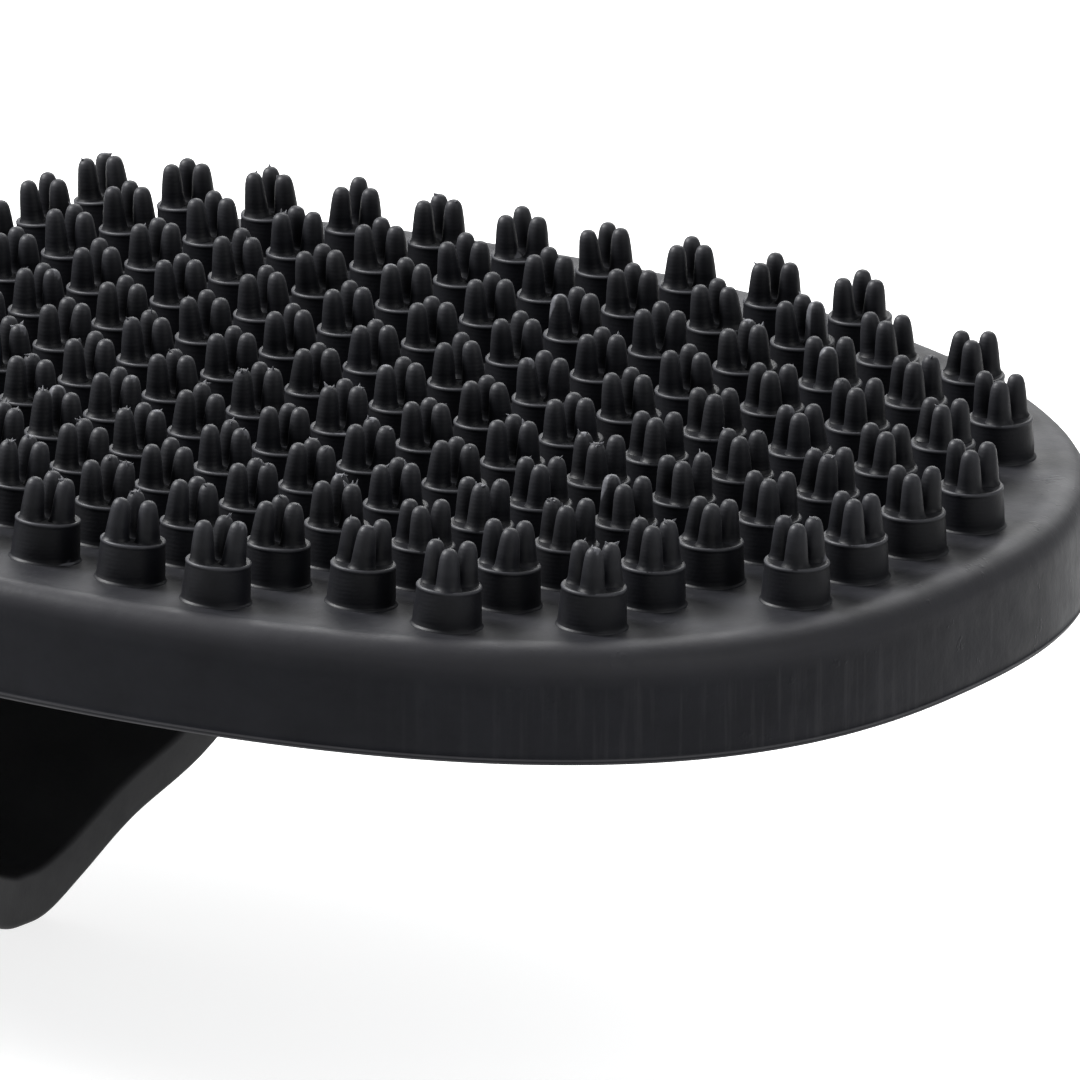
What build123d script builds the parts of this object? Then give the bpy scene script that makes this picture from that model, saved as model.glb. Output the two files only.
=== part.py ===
from build123d import *
import math
import os

os.makedirs("parts", exist_ok=True)

# Oval rubber curry comb. Rows of three-fingered teeth stand on the face of a moulded pad, and a
# rubber hand strap arches across its back, nearer to the -X end, where the palm lies. Millimetres,
# +Z towards the teeth, +X along the pad, origin under the pad's middle, level with the strap's crown.

# Tooth lattice
pitch = 8.6
row_lengths = [10, 14, 16, 16, 18, 18, 18, 18, 16, 16, 14, 10]
reversed_columns = 4

# One tooth
boss_radius = 2.88
boss_top_radius = 2.74
boss_height = 3.45
finger_circle = 1.48
finger_base_radius = 0.95
finger_tip_radius = 0.62
finger_height = 3.5

# Pad
pad_half_length = 9.45 * pitch
pad_half_width = 6.88 * pitch
pad_squareness = 2.35
outline_points = 48
pad_height = 9.8
face_edge_round = 1.1
back_edge_round = 0.7
pad_face_z = 46.7
pad_back_z = pad_face_z - pad_height

# Strap
strap_x = -32.8
strap_half_span = 46.5
root_inner_y = 37.0
crown_flat = 2.2
crown_thickness = 4.6
widest_strap = 56.0
root_half_width = 19.5
root_end = 48.0


# Pad: a thick oval plate with rounded edges. Its outline is a superellipse, a little fuller at the
# corners than an ellipse.
outline = []
for step in range(outline_points):
    angle = 2 * math.pi * step / outline_points
    spread = abs(math.cos(angle)) ** pad_squareness + abs(math.sin(angle)) ** pad_squareness
    reach = spread ** (-1 / pad_squareness)
    outline.append((pad_half_length * reach * math.cos(angle), pad_half_width * reach * math.sin(angle)))
with BuildPart() as pad:
    with BuildSketch(Plane.XY.offset(pad_back_z)):
        with BuildLine():
            Spline(outline, periodic=True)
        make_face()
    extrude(amount=pad_height)
    fillet(pad.edges().group_by(Axis.Z)[-1], radius=face_edge_round)
    fillet(pad.edges().group_by(Axis.Z)[0], radius=back_edge_round)
pad.part.label = "pad"
export_step(pad.part, "parts/pad.step")


# Tooth: a short round boss that carries three tapered, round-ended fingers
with BuildPart() as tooth:
    with BuildSketch():
        Circle(boss_radius)
    with BuildSketch(Plane.XY.offset(boss_height)):
        Circle(boss_top_radius)
    loft()
    with BuildSketch(Plane.XY.offset(boss_height)):
        with PolarLocations(finger_circle, 3):
            Circle(finger_base_radius)
    taper_angle = math.degrees(math.atan((finger_base_radius - finger_tip_radius) / finger_height))
    extrude(amount=finger_height, taper=taper_angle)
    fillet(tooth.edges().group_by(Axis.Z)[-1], radius=0.9 * finger_tip_radius)


# Rows of teeth, from the far side of the pad (+Y) to the near side. In the last columns towards +X
# each tooth is turned half a circle.
row_count = len(row_lengths)
first_reversed_x = (max(row_lengths) + 1) / 2 - reversed_columns
for row, length in enumerate(row_lengths):
    row_y = ((row_count - 1) / 2 - row) * pitch
    with BuildPart() as tooth_row:
        for column in range(length):
            column_x = column - (length - 1) / 2
            turn = 180 if column_x >= first_reversed_x else 0
            with Locations(Location((column_x * pitch, row_y, pad_face_z), (0, 0, turn))):
                add(tooth.part)
    tooth_row.part.label = f"tooth_row_{row + 1:02d}"
    export_step(tooth_row.part, f"parts/{tooth_row.part.label}.step")


# Hand strap: one half of its arch is drawn across the pad, mirrored and given its width, and its two
# edges are then cut in towards the crown
half_edge = [(19.0, 0), (20.8, 11.0), (23.4, 20.0), (24.0, 30.0), (22.0, 40.0), (root_half_width, root_end)]
near_to_far = [(x, -y) for x, y in reversed(half_edge[1:])] + half_edge
with BuildPart() as hand_strap:
    with BuildSketch(Plane.YZ.offset(strap_x - widest_strap / 2)):
        with BuildLine():
            Line((0, crown_thickness), (0, 0))
            Line((0, 0), (crown_flat, 0))
            Spline(
                (crown_flat, 0),
                (6.4, 2.7),
                (13.0, 7.5),
                (20.4, 12.0),
                (29.0, 18.2),
                (37.0, 26.2),
                (strap_half_span, pad_back_z),
            )
            Line((strap_half_span, pad_back_z), (root_inner_y, pad_back_z))
            Spline(
                (root_inner_y, pad_back_z),
                (37.4, 32.8),
                (34.2, 28.5),
                (26.8, 20.9),
                (18.5, 14.8),
                (11.3, 10.2),
                (5.6, 6.3),
                (crown_flat, crown_thickness),
            )
            Line((crown_flat, crown_thickness), (0, crown_thickness))
        make_face()
    extrude(amount=widest_strap)
    mirror(about=Plane.XZ)
    with BuildSketch():
        with BuildLine():
            Spline([(strap_x + x, y) for x, y in near_to_far])
            Spline([(strap_x - x, y) for x, y in near_to_far])
            Line((strap_x - root_half_width, root_end), (strap_x + root_half_width, root_end))
            Line((strap_x - root_half_width, -root_end), (strap_x + root_half_width, -root_end))
        make_face()
    extrude(amount=pad_back_z, mode=Mode.INTERSECT)
hand_strap.part.label = "hand_strap"
export_step(hand_strap.part, "parts/hand_strap.step")
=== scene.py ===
import math
import random

import bpy
from mathutils import Matrix, Vector

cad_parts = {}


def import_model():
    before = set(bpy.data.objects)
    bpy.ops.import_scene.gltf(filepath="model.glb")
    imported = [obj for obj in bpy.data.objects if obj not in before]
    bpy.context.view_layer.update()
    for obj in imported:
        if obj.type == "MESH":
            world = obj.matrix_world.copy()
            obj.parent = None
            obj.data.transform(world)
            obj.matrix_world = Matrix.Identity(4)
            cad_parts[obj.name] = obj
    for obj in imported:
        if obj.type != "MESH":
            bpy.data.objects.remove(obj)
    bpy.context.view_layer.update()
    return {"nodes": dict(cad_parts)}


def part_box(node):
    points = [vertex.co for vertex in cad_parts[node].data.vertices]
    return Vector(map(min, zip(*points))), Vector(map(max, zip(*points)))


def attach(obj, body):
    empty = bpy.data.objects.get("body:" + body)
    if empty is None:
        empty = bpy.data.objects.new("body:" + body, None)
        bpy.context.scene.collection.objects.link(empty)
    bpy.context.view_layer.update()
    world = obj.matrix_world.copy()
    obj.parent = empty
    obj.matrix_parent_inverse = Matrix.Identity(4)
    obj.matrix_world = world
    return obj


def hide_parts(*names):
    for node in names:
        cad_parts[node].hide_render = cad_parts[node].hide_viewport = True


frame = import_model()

# Rubber curry comb: an oval pad with rows of three-fingered teeth, and a hand strap arched across its
# back. Metres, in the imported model's frame. The pieces here replace the plain CAD solids with meshes
# that have the moulded edges, the small differences between teeth and the pad's gentle saddle.

random.seed(11)
MM = 0.001

# Sizes from the frame
ROW_NODES = sorted(name for name in frame["nodes"] if name.startswith("tooth_row_"))
PAD_LOW, PAD_HIGH = (Vector(corner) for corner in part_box("pad"))
HALF_LENGTH = PAD_HIGH.x
HALF_WIDTH = PAD_HIGH.y
FACE_Z = PAD_HIGH.z
BACK_Z = PAD_LOW.z
STRAP_LOW, STRAP_HIGH = (Vector(corner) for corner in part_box("hand_strap"))


def row_y(node):
    low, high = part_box(node)
    return (low[1] + high[1]) / 2


PITCH = row_y(ROW_NODES[0]) - row_y(ROW_NODES[1])
REVERSED_COLUMNS = 4


# The relaxed pad's saddle, all in tooth pitches
END_DROOP = 0.0024
NEAR_SIDE_LIFT = 0.0095
FAR_SIDE_LIFT = 0.005
LIFT_CHANGE_ALONG = 0.0006
TWIST = 0.004
STRAIGHT_FROM = 4
CORNER_DROOP = 0.02
CORNER_START = 2.2
CORNER_TURN = 2.6
CORNER_END = 5
CORNER_LEVEL = 13
CORNER_EASE = 1.0833
CORNER_SIDE = 5.5


def saddle(x, y):
    """Height of the relaxed rubber pad over its flat CAD shape: the ends droop, the long sides lift,
    evenly from four pitches out, and the far side droops a little more towards -X, easing to a level."""
    u = x / PITCH
    v = y / PITCH
    rise = v * v if abs(v) < STRAIGHT_FROM else 2 * STRAIGHT_FROM * abs(v) - STRAIGHT_FROM ** 2
    lift = NEAR_SIDE_LIFT if v < 0 else FAR_SIDE_LIFT
    past = min(max(-u - CORNER_START, 0), CORNER_END)
    bend = past * past if past < CORNER_TURN else CORNER_LEVEL - CORNER_EASE * (CORNER_END - past) ** 2
    droop = CORNER_DROOP * bend * (max(v, 0) / CORNER_SIDE) ** 2
    return PITCH * (-END_DROOP * u * u + (lift - LIFT_CHANGE_ALONG * u) * rise + TWIST * u * v - droop)


# Mesh helpers

def lathe(profile, segments):
    """Vertices and faces of a profile of (radius, height) turned about Z. Radius 0 closes an end."""
    vertices = []
    faces = []
    previous = None
    for radius, height in profile:
        if radius == 0:
            ring = [len(vertices)]
            vertices.append((0.0, 0.0, height))
        else:
            ring = list(range(len(vertices), len(vertices) + segments))
            for step in range(segments):
                angle = 2 * math.pi * step / segments
                vertices.append((radius * math.cos(angle), radius * math.sin(angle), height))
        if previous is not None:
            faces += joined_rings(previous, ring, segments)
        previous = ring
    return vertices, faces


def joined_rings(low, high, segments):
    """Faces between two rings of vertices, either of which may be a single closing vertex."""
    faces = []
    for step in range(segments):
        after = (step + 1) % segments
        if len(low) == 1:
            faces.append((low[0], high[after], high[step]))
        elif len(high) == 1:
            faces.append((low[step], low[after], high[0]))
        else:
            faces.append((low[step], low[after], high[after], high[step]))
    return faces


def place(target, shape, matrix):
    """Adds a transformed copy of a (vertices, faces) shape to the target (vertices, faces) lists."""
    start = len(target[0])
    target[0].extend(matrix @ Vector(vertex) for vertex in shape[0])
    target[1].extend(tuple(start + index for index in face) for face in shape[1])


def piece(name, shape, material, slot, *nodes):
    """A smooth-shaded mesh object that stands for CAD nodes and rides on the comb."""
    mesh = bpy.data.meshes.new(name)
    mesh.from_pydata([tuple(vertex) for vertex in shape[0]], [], shape[1])
    mesh.validate()
    mesh.update()
    mesh.shade_smooth()
    mesh.materials.append(material)
    made = bpy.data.objects.new(name, mesh)
    bpy.context.scene.collection.objects.link(made)
    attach(made, "root")
    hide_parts(*nodes)
    return made


def smooth_through(points, steps):
    """Points along a Catmull-Rom curve through the given tuples, with steps between each pair."""
    padded = [points[0]] + list(points) + [points[-1]]
    result = []
    for index in range(len(points) - 1):
        before, start, end, after = padded[index:index + 4]
        for step in range(steps):
            t = step / steps
            result.append(tuple(
                0.5 * (2 * s + (e - b) * t + (2 * b - 5 * s + 4 * e - a) * t ** 2
                       + (3 * s - b - 3 * e + a) * t ** 3)
                for b, s, e, a in zip(before, start, end, after)
            ))
    result.append(tuple(points[-1]))
    return result


# Materials

class Nodes:
    """Short calls for building one node material."""

    def __init__(self, name):
        self.material = bpy.data.materials.new(name)
        self.material.use_nodes = True
        self.tree = self.material.node_tree
        self.shader = self.tree.nodes["Principled BSDF"]

    def add(self, kind, **settings):
        node = self.tree.nodes.new(kind)
        for key, value in settings.items():
            setattr(node, key, value)
        return node

    def link(self, source, target):
        self.tree.links.new(source, target)

    def noise(self, coordinates, scale, detail=4.0, roughness=0.6):
        node = self.add("ShaderNodeTexNoise")
        node.inputs["Scale"].default_value = scale
        node.inputs["Detail"].default_value = detail
        node.inputs["Roughness"].default_value = roughness
        self.link(coordinates, node.inputs["Vector"])
        return node.outputs["Fac"]

    def ramp(self, value, low, high, low_colour, high_colour):
        node = self.add("ShaderNodeValToRGB")
        node.color_ramp.elements[0].position = low
        node.color_ramp.elements[0].color = low_colour
        node.color_ramp.elements[1].position = high
        node.color_ramp.elements[1].color = high_colour
        self.link(value, node.inputs["Fac"])
        return node.outputs["Color"]

    def mask(self, value, low, high):
        node = self.add("ShaderNodeMapRange")
        node.inputs["From Min"].default_value = low
        node.inputs["From Max"].default_value = high
        self.link(value, node.inputs["Value"])
        return node.outputs["Result"]

    def math(self, operation, first, second):
        node = self.add("ShaderNodeMath", operation=operation)
        for socket, value in zip(node.inputs, (first, second)):
            if isinstance(value, (int, float)):
                socket.default_value = value
            else:
                self.link(value, socket)
        return node.outputs["Value"]

    def mix(self, factor, first, second):
        node = self.add("ShaderNodeMix", data_type="RGBA")
        self.link(factor, node.inputs["Factor"])
        for socket, value in ((node.inputs[6], first), (node.inputs[7], second)):
            if isinstance(value, tuple):
                socket.default_value = value
            else:
                self.link(value, socket)
        return node.outputs[2]

    def bump(self, height, strength, distance, normal=None):
        node = self.add("ShaderNodeBump")
        node.inputs["Strength"].default_value = strength
        node.inputs["Distance"].default_value = distance
        self.link(height, node.inputs["Height"])
        if normal is not None:
            self.link(normal, node.inputs["Normal"])
        return node.outputs["Normal"]


def rubber(
    name, dark, light, dust_and_highlight, dust_amount, wear_and_highlight_amount, edge, roughness, specular,
    ring_strength=0.0, scuff=0.0,
):
    """Moulded black rubber: mottled colour, dust on what faces up, pale edges that are partly wear and
    partly a painted highlight, fine mould rings when ring_strength is above 0, and upright streaks and
    shallow dents at the +X end by scuff."""
    nodes = Nodes(name)
    coordinates = nodes.add("ShaderNodeTexCoord").outputs["Object"]
    geometry = nodes.add("ShaderNodeNewGeometry")
    mottle = nodes.noise(coordinates, 140.0, 5.0, 0.65)
    colour = nodes.ramp(mottle, 0.35, 0.7, dark, light)

    # Dust on what faces up
    split = nodes.add("ShaderNodeSeparateXYZ")
    nodes.link(geometry.outputs["Normal"], split.inputs["Vector"])
    facing_up = nodes.mask(split.outputs["Z"], 0.55, 1.0)
    cloud = nodes.mask(nodes.noise(coordinates, 45.0, 6.0, 0.7), 0.38, 0.7)
    speck = nodes.mask(nodes.noise(coordinates, 1500.0, 3.0, 0.7), 0.56, 0.74)
    patchy = nodes.math("ADD", nodes.math("MULTIPLY", cloud, 0.6), nodes.math("MULTIPLY", speck, 0.5))
    dusty = nodes.math("MULTIPLY", nodes.math("MULTIPLY", patchy, facing_up), dust_amount)

    # Upright streaks near the +X end
    position = nodes.add("ShaderNodeSeparateXYZ")
    nodes.link(coordinates, position.inputs["Vector"])
    handled = nodes.mask(position.outputs["X"], 0.05, 0.08)
    stretched = nodes.add("ShaderNodeMapping")
    stretched.inputs["Scale"].default_value = (1.0, 1.0, 0.06)
    nodes.link(coordinates, stretched.inputs["Vector"])
    streak = nodes.mask(nodes.noise(stretched.outputs["Vector"], 1300.0, 3.0, 0.6), 0.5, 0.72)
    streak = nodes.math("MULTIPLY", nodes.math("MULTIPLY", streak, handled), 0.16 * scuff)
    dusty = nodes.math("MAXIMUM", dusty, streak)

    # Pale convex edges: partly wear, partly a painted highlight on the pad's rim, the boss lips and the
    # finger tips
    wear_and_highlight = nodes.math("MULTIPLY", nodes.mask(geometry.outputs["Pointiness"], *edge), wear_and_highlight_amount)
    nodes.link(
        nodes.mix(nodes.math("MAXIMUM", dusty, wear_and_highlight), colour, dust_and_highlight),
        nodes.shader.inputs["Base Color"],
    )

    # Gloss
    rough_noise = nodes.noise(coordinates, 320.0, 4.0, 0.6)
    rough = nodes.math("ADD", nodes.math("MULTIPLY", rough_noise, 0.22), roughness - 0.11)
    rough = nodes.math("ADD", rough, nodes.math("MULTIPLY", dusty, 0.3))
    nodes.link(rough, nodes.shader.inputs["Roughness"])
    nodes.shader.inputs["Specular IOR Level"].default_value = specular
    nodes.shader.inputs["Sheen Weight"].default_value = 0.006
    nodes.shader.inputs["Sheen Roughness"].default_value = 0.5

    # Grain, gentle waviness, dents near the +X end and mould rings
    normal = nodes.bump(nodes.noise(coordinates, 2600.0, 3.0, 0.6), 0.25, 0.00006)
    normal = nodes.bump(nodes.noise(coordinates, 260.0, 3.0, 0.5), 0.2, 0.0004, normal)
    dents = nodes.mask(nodes.noise(coordinates, 210.0, 4.0, 0.75), 0.63, 0.78)
    normal = nodes.bump(nodes.math("MULTIPLY", dents, handled), 0.25 * scuff, 0.0004, normal)
    if ring_strength:
        wave = nodes.add("ShaderNodeTexWave", bands_direction="Z", wave_profile="SIN")
        wave.inputs["Scale"].default_value = 900.0
        wave.inputs["Distortion"].default_value = 2.5
        wave.inputs["Detail"].default_value = 3.0
        wave.inputs["Detail Scale"].default_value = 2.0
        nodes.link(coordinates, wave.inputs["Vector"])
        normal = nodes.bump(wave.outputs["Fac"], ring_strength, 0.00008, normal)
    nodes.link(normal, nodes.shader.inputs["Normal"])
    return nodes.material


# The worn amount and the pale dust colour also paint a highlight onto convex edges: the pad's near rim, the
# bosses' lips and the finger tips.
PAD_RUBBER = rubber(
    "pad_rubber", (0.0019, 0.0021, 0.0033, 1), (0.0040, 0.0043, 0.0060, 1), (0.046, 0.045, 0.048, 1),
    dust_amount=0.3, wear_and_highlight_amount=0.42, edge=(0.506, 0.53), roughness=0.5, specular=0.09, scuff=1.0,
)
TOOTH_RUBBER = rubber(
    "tooth_rubber", (0.0013, 0.0014, 0.0021, 1), (0.0034, 0.0036, 0.0050, 1), (0.085, 0.086, 0.095, 1),
    dust_amount=0.06, wear_and_highlight_amount=0.6, edge=(0.525, 0.6), roughness=0.48, specular=0.10,
    ring_strength=0.06,
)
STRAP_RUBBER = rubber(
    "strap_rubber", (0.0150, 0.0150, 0.0160, 1), (0.0240, 0.0240, 0.0250, 1), (0.03, 0.03, 0.033, 1),
    dust_amount=0.3, wear_and_highlight_amount=0.1, edge=(0.515, 0.6), roughness=0.6, specular=0.2,
)


# Pad

SEAM_HEIGHT = 0.55  # mm
SQUARENESS = 2.35
PAD_SEGMENTS = 320
FACE_RINGS = 40
FACE_SHARE = 0.925
BACK_RINGS = 30
BACK_SHARE = 0.9
END_SOFTNESS = 0.5


def pad_section():
    """The pad's half section from the middle of its face, over the rim, to the middle of its back.
    Each point is (share of the way out from the middle, inset from the rim, drop from the face or
    None, height over the back or None)."""
    section = [(FACE_SHARE * ring / FACE_RINGS, 0.0, 0.0, None) for ring in range(1, FACE_RINGS + 1)]
    # A low bead runs just inside the rim, then the edge rounds over into the wall
    edge = [
        (3.6, 0.0), (3.0, 0.01), (2.5, -0.03), (2.0, -0.09), (1.5, -0.08), (1.05, 0.03), (0.68, 0.24),
        (0.4, 0.52), (0.18, 0.88), (0.05, 1.3), (0.0, 1.8),
    ]
    section += [(1.0, inset * MM, drop * MM, None) for inset, drop in edge]
    wall = [(0.0, 6.0), (0.0, 4.6), (0.02, 3.2), (0.02, 2.0), (0.03, 1.1)]
    seam = [(0.04, 0.2), (0.0, 0.11), (-0.05, 0.04), (-0.05, -0.04), (0.0, -0.1), (0.06, -0.15)]
    foot = [(0.08, 0.32), (0.14, 0.18), (0.26, 0.06), (0.5, 0.0), (1.1, 0.0), (2.6, 0.0), (5.2, 0.0)]
    wall += [(inset, SEAM_HEIGHT + rise) for inset, rise in seam] + foot
    section += [(1.0, inset * MM, None, low * MM) for inset, low in wall]
    section += [(BACK_SHARE * (1 - ring / BACK_RINGS), 0.0, None, 0.0) for ring in range(BACK_RINGS)]
    return section


def rim_point(angle, inset):
    """A point of the pad's superellipse outline, moved in by the inset."""
    c = math.cos(angle)
    s = math.sin(angle)
    reach = (abs(c) ** SQUARENESS + abs(s) ** SQUARENESS) ** (-1 / SQUARENESS)
    return (HALF_LENGTH - inset) * reach * c, (HALF_WIDTH - inset) * reach * s


def pad_mesh():
    """The pad's section turned round its outline. The rim's rounding is larger towards +X."""
    vertices = [(0.0, 0.0, FACE_Z)]
    faces = []
    previous = [0]
    for share, inset, drop, low in pad_section():
        ring = list(range(len(vertices), len(vertices) + PAD_SEGMENTS))
        for step in range(PAD_SEGMENTS):
            angle = 2 * math.pi * step / PAD_SEGMENTS
            softer = 1 + END_SOFTNESS * max(math.cos(angle), 0) ** 2
            if drop is None:
                x, y = rim_point(angle, inset)
                z = BACK_Z + low
            else:
                x, y = rim_point(angle, inset * softer)
                z = FACE_Z - drop * softer
            x *= share
            y *= share
            vertices.append((x, y, z + saddle(x, y)))
        faces += joined_rings(ring, previous, PAD_SEGMENTS)
        previous = ring
    vertices.append((0.0, 0.0, BACK_Z))
    faces += joined_rings([len(vertices) - 1], previous, PAD_SEGMENTS)
    return vertices, faces


piece("pad_moulding", pad_mesh(), PAD_RUBBER, "pad_rubber", "pad")


# Teeth

BOSS_HEIGHT = 3.45 * MM
FINGER_CIRCLE = 1.48 * MM
ANY_TURN = 6.28
FINGER_SPREAD = 0.03
FINGER_LEAN = 0.035
FINGER_STRETCH = 0.025
NIB_CHANCE_NEAR = 0.55
NIB_CHANCE_FAR = 0.15
# A row's measured length ends at its outer bosses, which add two thirds of a pitch to the column gaps
ROW_END_SHARE = 0.33

BOSS = lathe(
    [(r * MM, h * MM) for r, h in (
        (3.1, -0.12), (3.06, 0.02), (3.0, 0.12), (2.92, 0.17), (2.88, 0.24), (2.87, 0.6), (2.82, 1.4),
        (2.76, 2.3), (2.71, 2.98), (2.71, 3.1), (2.74, 3.2), (2.74, 3.33), (2.68, 3.43), (2.57, 3.46),
        (2.42, 3.43), (2.27, 3.39), (0, 3.38))],
    36,
)
FINGER = lathe(
    [(r * MM, h * MM) for r, h in (
        (1.26, -0.12), (1.12, 0.06), (1.03, 0.3), (0.98, 0.8), (0.93, 1.4), (0.86, 2.1), (0.79, 2.65),
        (0.71, 3.0), (0.6, 3.26), (0.43, 3.44), (0.22, 3.53), (0, 3.55))],
    18,
)
NIB = lathe([(r * MM, h * MM) for r, h in ((0.16, 0), (0.11, 0.16), (0.05, 0.34), (0, 0.5))], 6)


def tilt(angle_x, angle_y):
    return Matrix.Rotation(angle_x, 4, "X") @ Matrix.Rotation(angle_y, 4, "Y")


def surface_frame(x, y):
    """A matrix that stands a tooth upright on the saddle at x, y."""
    step = 0.5 * MM
    slope_x = (saddle(x + step, y) - saddle(x - step, y)) / (2 * step)
    slope_y = (saddle(x, y + step) - saddle(x, y - step)) / (2 * step)
    return Matrix.Translation((x, y, FACE_Z + saddle(x, y))) @ tilt(math.atan(slope_y), -math.atan(slope_x))


def tooth(target, x, y, turn):
    """Adds a tooth: a boss and three fingers with small random leans, some with torn nibs at the tip."""
    stand = surface_frame(x, y)
    place(target, BOSS, stand @ Matrix.Rotation(random.uniform(0, ANY_TURN), 4, "Z"))
    for finger in range(3):
        angle = turn + 2 * math.pi * finger / 3 + random.gauss(0, FINGER_SPREAD)
        out = Matrix.Translation((
            FINGER_CIRCLE * math.cos(angle), FINGER_CIRCLE * math.sin(angle), BOSS_HEIGHT
        ))
        lean = tilt(random.gauss(0, FINGER_LEAN), random.gauss(0, FINGER_LEAN))
        stretch = Matrix.Diagonal((1, 1, random.gauss(1, FINGER_STRETCH), 1))
        base = stand @ out @ lean @ Matrix.Rotation(random.uniform(0, ANY_TURN), 4, "Z") @ stretch
        place(target, FINGER, base)
        while random.random() < (NIB_CHANCE_NEAR if y < 0 else NIB_CHANCE_FAR):
            around = Matrix.Rotation(random.uniform(0, ANY_TURN), 4, "Z")
            edge = Matrix.Translation((random.uniform(0.2, 0.5) * MM, 0, random.uniform(3.25, 3.42) * MM))
            bend = Matrix.Rotation(random.uniform(0.1, 1.2), 4, "Y")
            wide, deep, tall = random.uniform(0.6, 1.5), random.uniform(0.6, 1.5), random.uniform(0.4, 1.1)
            size = Matrix.Diagonal((wide, deep, tall, 1))
            place(target, NIB, base @ around @ edge @ bend @ size)


def row_length(node):
    low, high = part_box(node)
    return high[0] - low[0]


REVERSED_FROM = max(row_length(node) for node in ROW_NODES) / 2 - REVERSED_COLUMNS * PITCH


def tooth_row(node):
    """One row of teeth. Those in the last columns towards +X are turned half a circle."""
    y = row_y(node)
    count = round(row_length(node) / PITCH + ROW_END_SHARE)
    target = ([], [])
    for column in range(count):
        x = (column - (count - 1) / 2) * PITCH
        tooth(target, x, y, math.pi if x > REVERSED_FROM else 0)
    piece(node + "_teeth", target, TOOTH_RUBBER, "tooth_rubber", node)


for row_node in ROW_NODES:
    tooth_row(row_node)


# Hand strap

STRAP_X = (STRAP_LOW.x + STRAP_HIGH.x) / 2 / MM
STRAP_EDGE_ROUND = 0.55
STRAP_CORNER_STEPS = 5
STRAP_WIDTH_STEPS = 24
STRAP_CURVE_STEPS = 8
FOLLOW_FROM = 16
FOLLOW_OVER = 22


def settled(point_mm, follow):
    """The point in metres, lifted with the pad's saddle by the share that it follows the pad."""
    point = point_mm * MM
    return point + Vector((0, 0, follow * saddle(point.x, point.y)))


def strap_mesh():
    """A band across the pad's back, from points of (y, z, thickness, half width) in mm, crown to root."""
    half = [
        (0.0, 2.3, 4.6, 19.0), (2.8, 2.62, 4.5, 19.1), (6.8, 4.6, 4.0, 19.6), (12.3, 8.55, 3.8, 21.0),
        (19.8, 13.1, 3.9, 23.3), (28.2, 19.2, 4.0, 24.1), (35.9, 27.1, 3.9, 23.2),
        (40.4, 32.8, 4.8, 21.6), (41.7, 35.4, 7.8, 20.6), (41.9, 37.6, 10.5, 20.0),
    ]
    other_half = [(-y, z, thickness, half_width) for y, z, thickness, half_width in reversed(half[1:])]
    line = smooth_through(other_half + half, STRAP_CURVE_STEPS)
    vertices = []
    faces = []
    previous = None
    for index, (y, z, thickness, half_width) in enumerate(line):
        before = line[max(index - 1, 0)]
        after = line[min(index + 1, len(line) - 1)]
        run = Vector((0, after[0] - before[0], after[1] - before[1])).normalized()
        normal = Vector((0, -run.z, run.y))
        centre = Vector((STRAP_X, y, z))
        follow = min(max((abs(y) - FOLLOW_FROM) / FOLLOW_OVER, 0), 1)
        ring = []
        for side_x, side_n, first in ((1, 1, 0), (-1, 1, 90), (-1, -1, 180), (1, -1, 270)):
            for step in range(STRAP_CORNER_STEPS + 1):
                angle = math.radians(first + 90 * step / STRAP_CORNER_STEPS)
                across = side_x * (half_width - STRAP_EDGE_ROUND) + STRAP_EDGE_ROUND * math.cos(angle)
                up = side_n * (thickness / 2 - STRAP_EDGE_ROUND) + STRAP_EDGE_ROUND * math.sin(angle)
                ring.append(len(vertices))
                vertices.append(settled(centre + normal * up + Vector((across, 0, 0)), follow))
            if side_x == side_n:
                edge_z = side_n * (thickness / 2)
                start = half_width - STRAP_EDGE_ROUND
                for part in range(1, STRAP_WIDTH_STEPS):
                    across = side_x * start * (1 - 2 * part / STRAP_WIDTH_STEPS)
                    ring.append(len(vertices))
                    vertices.append(settled(centre + normal * edge_z + Vector((across, 0, 0)), follow))
        if previous is not None:
            faces += joined_rings(ring, previous, len(ring))
        previous = ring
    faces.append(tuple(range(len(previous))))
    faces.append(tuple(reversed(previous)))
    return vertices, faces


piece("hand_strap_band", strap_mesh(), STRAP_RUBBER, "strap_rubber", "hand_strap")


# Floor, light and camera

def floor():
    """A plain floor that glows a little, so that it stays pale and its shadows stay faint."""
    nodes = Nodes("studio_floor")
    nodes.shader.inputs["Base Color"].default_value = (0.36, 0.36, 0.36, 1)
    nodes.shader.inputs["Roughness"].default_value = 0.9
    nodes.shader.inputs["Specular IOR Level"].default_value = 0.1
    nodes.shader.inputs["Emission Color"].default_value = (1, 1, 1, 1)
    nodes.shader.inputs["Emission Strength"].default_value = 0.8
    mesh = bpy.data.meshes.new("floor")
    size = 4.0
    corners = [(-size, -size, 0), (size, -size, 0), (size, size, 0), (-size, size, 0)]
    mesh.from_pydata(corners, [], [(0, 1, 2, 3)])
    mesh.materials.append(nodes.material)
    made = bpy.data.objects.new("floor", mesh)
    bpy.context.scene.collection.objects.link(made)


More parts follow.
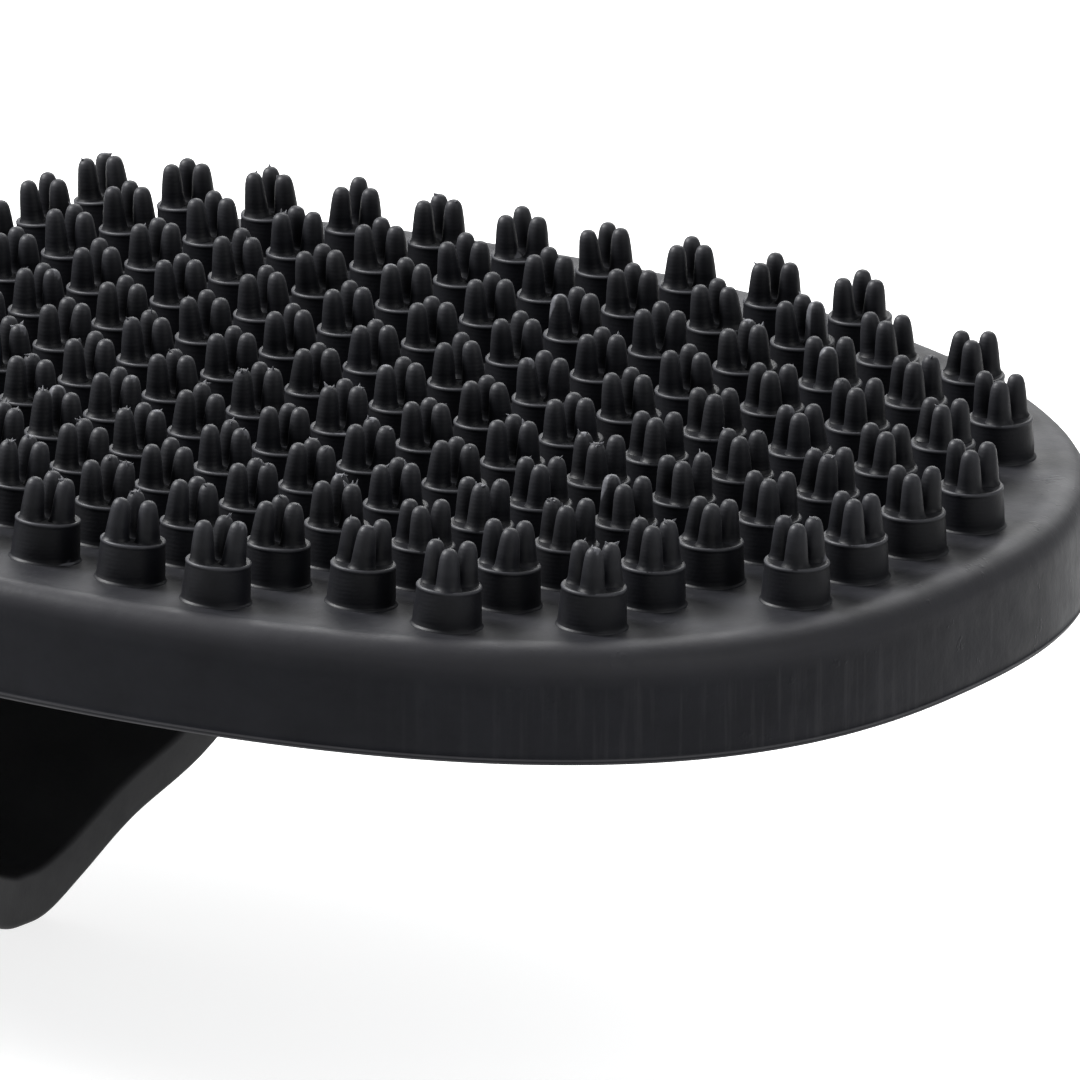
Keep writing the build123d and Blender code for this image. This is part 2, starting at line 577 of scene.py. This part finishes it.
def away_from_comb(azimuth, elevation):
    """A unit vector away from the comb, from angles in degrees. Azimuth 0 faces the near long side."""
    a = math.radians(azimuth)
    e = math.radians(elevation)
    return Vector((math.sin(a) * math.cos(e), -math.cos(a) * math.cos(e), math.sin(e)))


def softbox(name, azimuth, elevation, distance, size, power):
    """A square area light that looks at the pad."""
    light = bpy.data.lights.new(name, "AREA")
    light.size = size
    light.energy = power
    made = bpy.data.objects.new(name, light)
    away = away_from_comb(azimuth, elevation)
    made.location = Vector((0, 0, FACE_Z)) + away * distance
    made.rotation_euler = away.to_track_quat("Z", "Y").to_euler()
    bpy.context.scene.collection.objects.link(made)


CAMERA_AIM = Vector((27.7, 15.8, -10.05)) * MM  # from the middle of the pad's face
CAMERA_AZIMUTH = 34.53
CAMERA_ELEVATION = 15.0
CAMERA_ROLL = 0.18
CAMERA_PITCHES = 390
CAMERA_LENS = 1333.3


def camera():
    """A long lens from above the near right, rolled slightly, with the pad's left end out of frame."""
    aim = CAMERA_AIM + Vector((0, 0, FACE_Z))
    away = away_from_comb(CAMERA_AZIMUTH, CAMERA_ELEVATION)
    data = bpy.data.cameras.new("camera")
    data.sensor_width = 36
    data.lens = CAMERA_LENS
    data.clip_end = 20
    made = bpy.data.objects.new("camera", data)
    roll = Matrix.Rotation(math.radians(CAMERA_ROLL), 4, "Z")
    turn = away.to_track_quat("Z", "Y").to_matrix().to_4x4() @ roll
    made.matrix_world = Matrix.Translation(aim + away * CAMERA_PITCHES * PITCH) @ turn
    bpy.context.scene.collection.objects.link(made)
    bpy.context.scene.camera = made


def world():
    made = bpy.data.worlds.new("studio")
    made.use_nodes = True
    background = made.node_tree.nodes["Background"]
    background.inputs["Color"].default_value = (0.95, 0.97, 1.0, 1)
    background.inputs["Strength"].default_value = 0.62
    bpy.context.scene.world = made


floor()
world()
softbox("key", azimuth=-72, elevation=44, distance=1.2, size=0.5, power=60)
softbox("back", azimuth=200, elevation=40, distance=1.3, size=1.0, power=20)
softbox("fill", azimuth=85, elevation=32, distance=1.4, size=0.9, power=9)
camera()
bpy.context.scene.view_settings.view_transform = "Standard"
